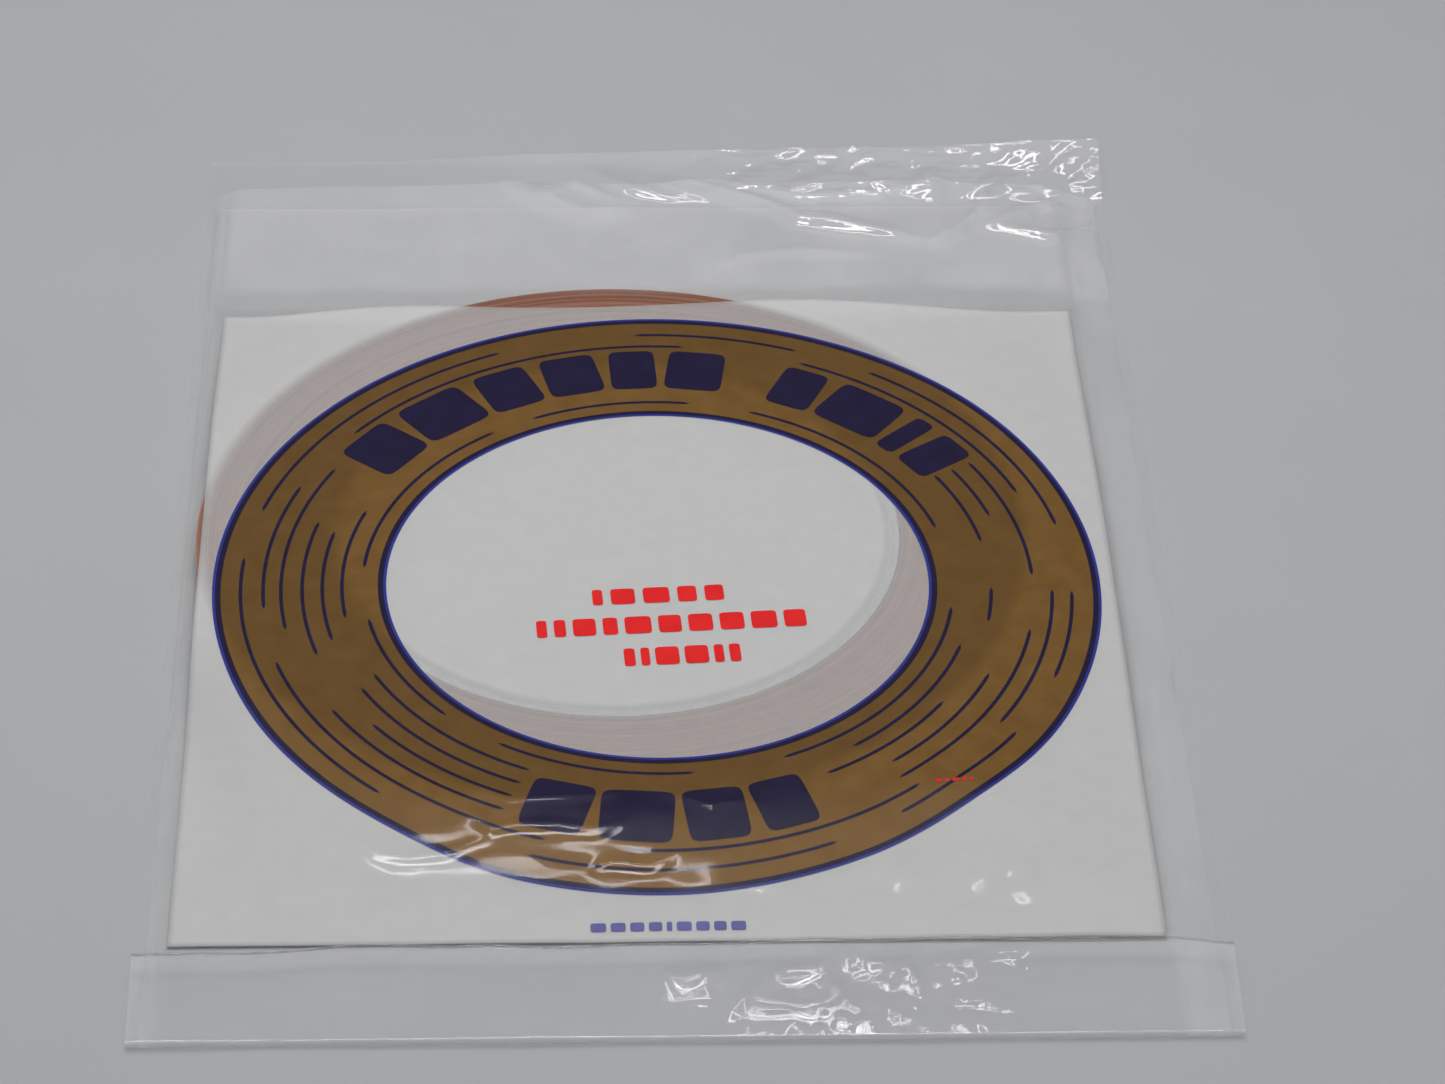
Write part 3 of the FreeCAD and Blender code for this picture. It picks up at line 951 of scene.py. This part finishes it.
def flap_sheet(name, low_x, high_x, material, gap, nodes, step):
    """Both films of the strip as one folded sheet: out along the lower film, round the fold and back."""
    columns = max(6, int((high_x - low_x) / step) + 1)
    reach = FLAP_HIGH[1] - HINGE[1] - 0.3
    rows, bend_rows = 30, 5
    share = np.concatenate([np.linspace(0, 1, rows), np.ones(bend_rows), np.linspace(1, 0, rows)])
    turn = np.concatenate([np.zeros(rows), np.linspace(30, 150, bend_rows), np.full(rows, 180.0)])
    x, s = np.meshgrid(np.linspace(low_x, high_x, columns), share)
    t = np.radians(turn)[:, None] + 0 * x
    y = HINGE[1] + s * reach + np.where((t > 0) & (t < math.pi), gap * np.sin(t), 0)
    y += s * edge_out(x)
    z = HINGE[2] + flap_height(x, s) - gap * np.cos(t)
    upper = (t > math.pi / 2)
    for points, height, width in NEAR_CREASES:
        z += crease(x, y, points, height, width) * (0.35 + 0.65 * upper)
    crumpled = near_zone(x, y, (24, -88), (32, 12)) * (0.3 + 0.7 * upper)
    z += crumpled * (0.26 * crumple(x, y, 8.0, 64) + 0.09 * crumple(x, y, 3.6, 66))
    z = np.maximum(z, HINGE[2] + FLAP_SLOPE * s * reach - 0.26)
    piece = sheet(name, x, y, z, material, "flap")
    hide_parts(*nodes)
    return piece


def flap_edge_piece():
    """The bag's bottom fold, now the strip's free edge: a fine bead along it."""
    columns, turns, bead = int(2 * BAG_HALF_WIDTH / 0.5), 8, 0.2
    reach = FLAP_HIGH[1] - HINGE[1] - 0.1
    x, a = np.meshgrid(np.linspace(-BAG_HALF_WIDTH, BAG_HALF_WIDTH, columns),
                       np.linspace(0, TURN, turns, endpoint=False))
    share = np.ones(x.shape)
    y = HINGE[1] + reach - bead + edge_out(x) + bead * np.cos(a)
    z = HINGE[2] + np.maximum(flap_height(x, share), FLAP_SLOPE * reach) + bead * np.sin(a)
    piece = make_piece("flap_free_edge", np.stack([x, y, z], -1).reshape(-1, 3),
                       grid_faces(turns, columns, wrap_rows=True), EDGE_FILM, "flap")
    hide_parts("flap_bottom_fold")


def flap_pieces():
    """The strip folded over the front: film between its two side welds, and its free edge."""
    films = flap_sheet("flap_film", -INSIDE_X, INSIDE_X, FLAP_FILM, 0.22,
                       ["flap_lower_film", "flap_upper_film"], 0.45)
    flap_sheet("flap_left_weld_strip", -BAG_HALF_WIDTH, -INSIDE_X, FLAP_WELD_FILM, 0.12,
               ["flap_left_weld"], 0.2)
    flap_sheet("flap_right_weld_strip", INSIDE_X, BAG_HALF_WIDTH, FLAP_WELD_FILM, 0.12,
               ["flap_right_weld"], 0.2)
    flap_edge_piece()


def fold_piece():
    """The bend that joins the lying bag to the folded-over strip: a soft half round of both films."""
    columns = int(2 * BAG_HALF_WIDTH / 0.8) + 1
    turns = 13
    x, a = np.meshgrid(np.linspace(-BAG_HALF_WIDTH, BAG_HALF_WIDTH, columns), np.linspace(-90, 90, turns))
    a = np.radians(a)
    radius = 0.5 + 0.06 * waves(x, 0 * x, 30.0, 4, 71)
    middle_z = HINGE[2] - 0.12
    y = FOLD_Y + 0.55 - radius * np.cos(a) * 1.15
    z = middle_z + radius * np.sin(a)
    piece = make_piece("near_fold", np.stack([x, y, z], -1).reshape(-1, 3), grid_faces(*x.shape)[:, ::-1],
                       FOLD_FILM, None)
    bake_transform(piece)


# --- Stage, light and camera -------------------------------------------------------------------------

def stage():
    """A plain pale floor."""
    size = 3000.0  # half its width
    points = [(-size, -size, 0), (size, -size, 0), (size, size, 0), (-size, size, 0)]
    floor = make_piece("floor", points, [(0, 1, 2, 3)], floor_material(), smooth=False)


def area_light(name, azimuth, elevation, distance, size, power, colour=(1, 1, 1)):
    """A square soft light aimed at the bag's centre; azimuth 0 is behind the mouth, at +Y, and 90 at +X."""
    data = bpy.data.lights.new(name, "AREA")
    data.shape = "RECTANGLE"
    data.size, data.size_y = size
    data.energy = power
    data.color = colour
    light = bpy.data.objects.new(name, data)
    a, e = math.radians(azimuth), math.radians(elevation)
    direction = Vector((math.sin(a) * math.cos(e), math.cos(a) * math.cos(e), math.sin(e)))
    light.location = direction * distance
    light.rotation_mode = "QUATERNION"
    light.rotation_quaternion = direction.to_track_quat("Z", "Y")
    bpy.context.scene.collection.objects.link(light)
    return light


# Narrow lamps that only the creases mirror: azimuth and elevation in degrees, width and depth in metres.
LAMPS = ((-10, 69, 0.4, 0.03), (24, 72, 0.35, 0.04), (0, 79, 0.5, 0.1))
LAMP_POWER = 60  # watts for each square metre
LAMP_DISTANCE = 1.5
# How bright the surround is, by the sine of the elevation: dim low down, where flat film mirrors it.
SURROUND = ((0.60, 0.11), (0.70, 0.18), (0.81, 0.70), (1.0, 0.84))


def lighting():
    """Narrow lamps high behind the mouth, two soft lights that film doesn't mirror, and a pale surround."""
    for azimuth, elevation, width, depth in LAMPS:
        area_light("lamp", azimuth, elevation, LAMP_DISTANCE, (width, depth), LAMP_POWER * width * depth,
                   (1.0, 0.97, 1.0))
    side = area_light("side", -24, 52, 1.05, (0.7, 0.7), 2.7, (0.98, 0.99, 1.0))
    overhead = area_light("overhead", 0, 88, 0.36, (0.3, 0.3), 0.57)
    for light in (side, overhead):
        light.visible_glossy = False
    world = bpy.data.worlds.new("surround")
    world.use_nodes = True
    tree = world.node_tree
    place = tree.nodes.new("ShaderNodeTexCoord")
    parts = tree.nodes.new("ShaderNodeSeparateXYZ")
    ramp = tree.nodes.new("ShaderNodeValToRGB")
    tree.links.new(place.outputs["Generated"], parts.inputs[0])
    tree.links.new(parts.outputs["Z"], ramp.inputs[0])
    tree.links.new(ramp.outputs[0], tree.nodes["Background"].inputs["Color"])
    while len(ramp.color_ramp.elements) < len(SURROUND):
        ramp.color_ramp.elements.new(0.5)
    for element, (height, level) in zip(ramp.color_ramp.elements, SURROUND):
        element.position = height
        element.color = (level * 0.975, level * 0.99, level, 1)
    bpy.context.scene.world = world


CAMERA_PLACE = Vector((-15.45, -495.25, 396.5))
CAMERA_LENS = 114.06
CAMERA_HEADING, CAMERA_DOWN, CAMERA_ROLL = 2.634, 38.53, 1.262  # in degrees


def camera():
    """A long lens in front of the fold, looking down at the bag."""
    data = bpy.data.cameras.new("camera")
    data.lens, data.sensor_width = CAMERA_LENS, 36.0
    data.clip_start, data.clip_end = 0.05, 10
    cam = bpy.data.objects.new("camera", data)
    heading, down, roll = (math.radians(angle) for angle in (CAMERA_HEADING, CAMERA_DOWN, CAMERA_ROLL))
    level = Vector((math.sin(heading), math.cos(heading), 0))
    forward = level * math.cos(down) - Vector((0, 0, math.sin(down)))
    right = Vector((math.cos(heading), -math.sin(heading), 0))
    up = right.cross(forward)
    rolled_right = right * math.cos(roll) + up * math.sin(roll)
    rolled_up = up * math.cos(roll) - right * math.sin(roll)
    turned = Matrix((rolled_right, rolled_up, -forward)).transposed().to_4x4()
    cam.matrix_world = Matrix.Translation(CAMERA_PLACE * MM) @ turned
    bpy.context.scene.collection.objects.link(cam)
    bpy.context.scene.camera = cam


core_piece()
spiral_layer("copper_foil", "copper_winding", 0.0, FOIL, copper_material())
spiral_layer("adhesive_layer", "adhesive_winding", FOIL, ADHESIVE, adhesive_material())
spiral_layer("release_liner", "release_winding", FOIL + ADHESIVE, LINER, liner_material())
card_piece()
print_pieces()
back_film_piece()
front_film_piece()
lip_piece()
bag_weld("bag_left_weld", -BAG_HALF_WIDTH, -INSIDE_X)
bag_weld("bag_right_weld", INSIDE_X, BAG_HALF_WIDTH)
flap_pieces()
fold_piece()
stage()
lighting()
camera()

scene = bpy.context.scene
scene.view_settings.view_transform = "Standard"
scene.cycles.transparent_max_bounces = 24
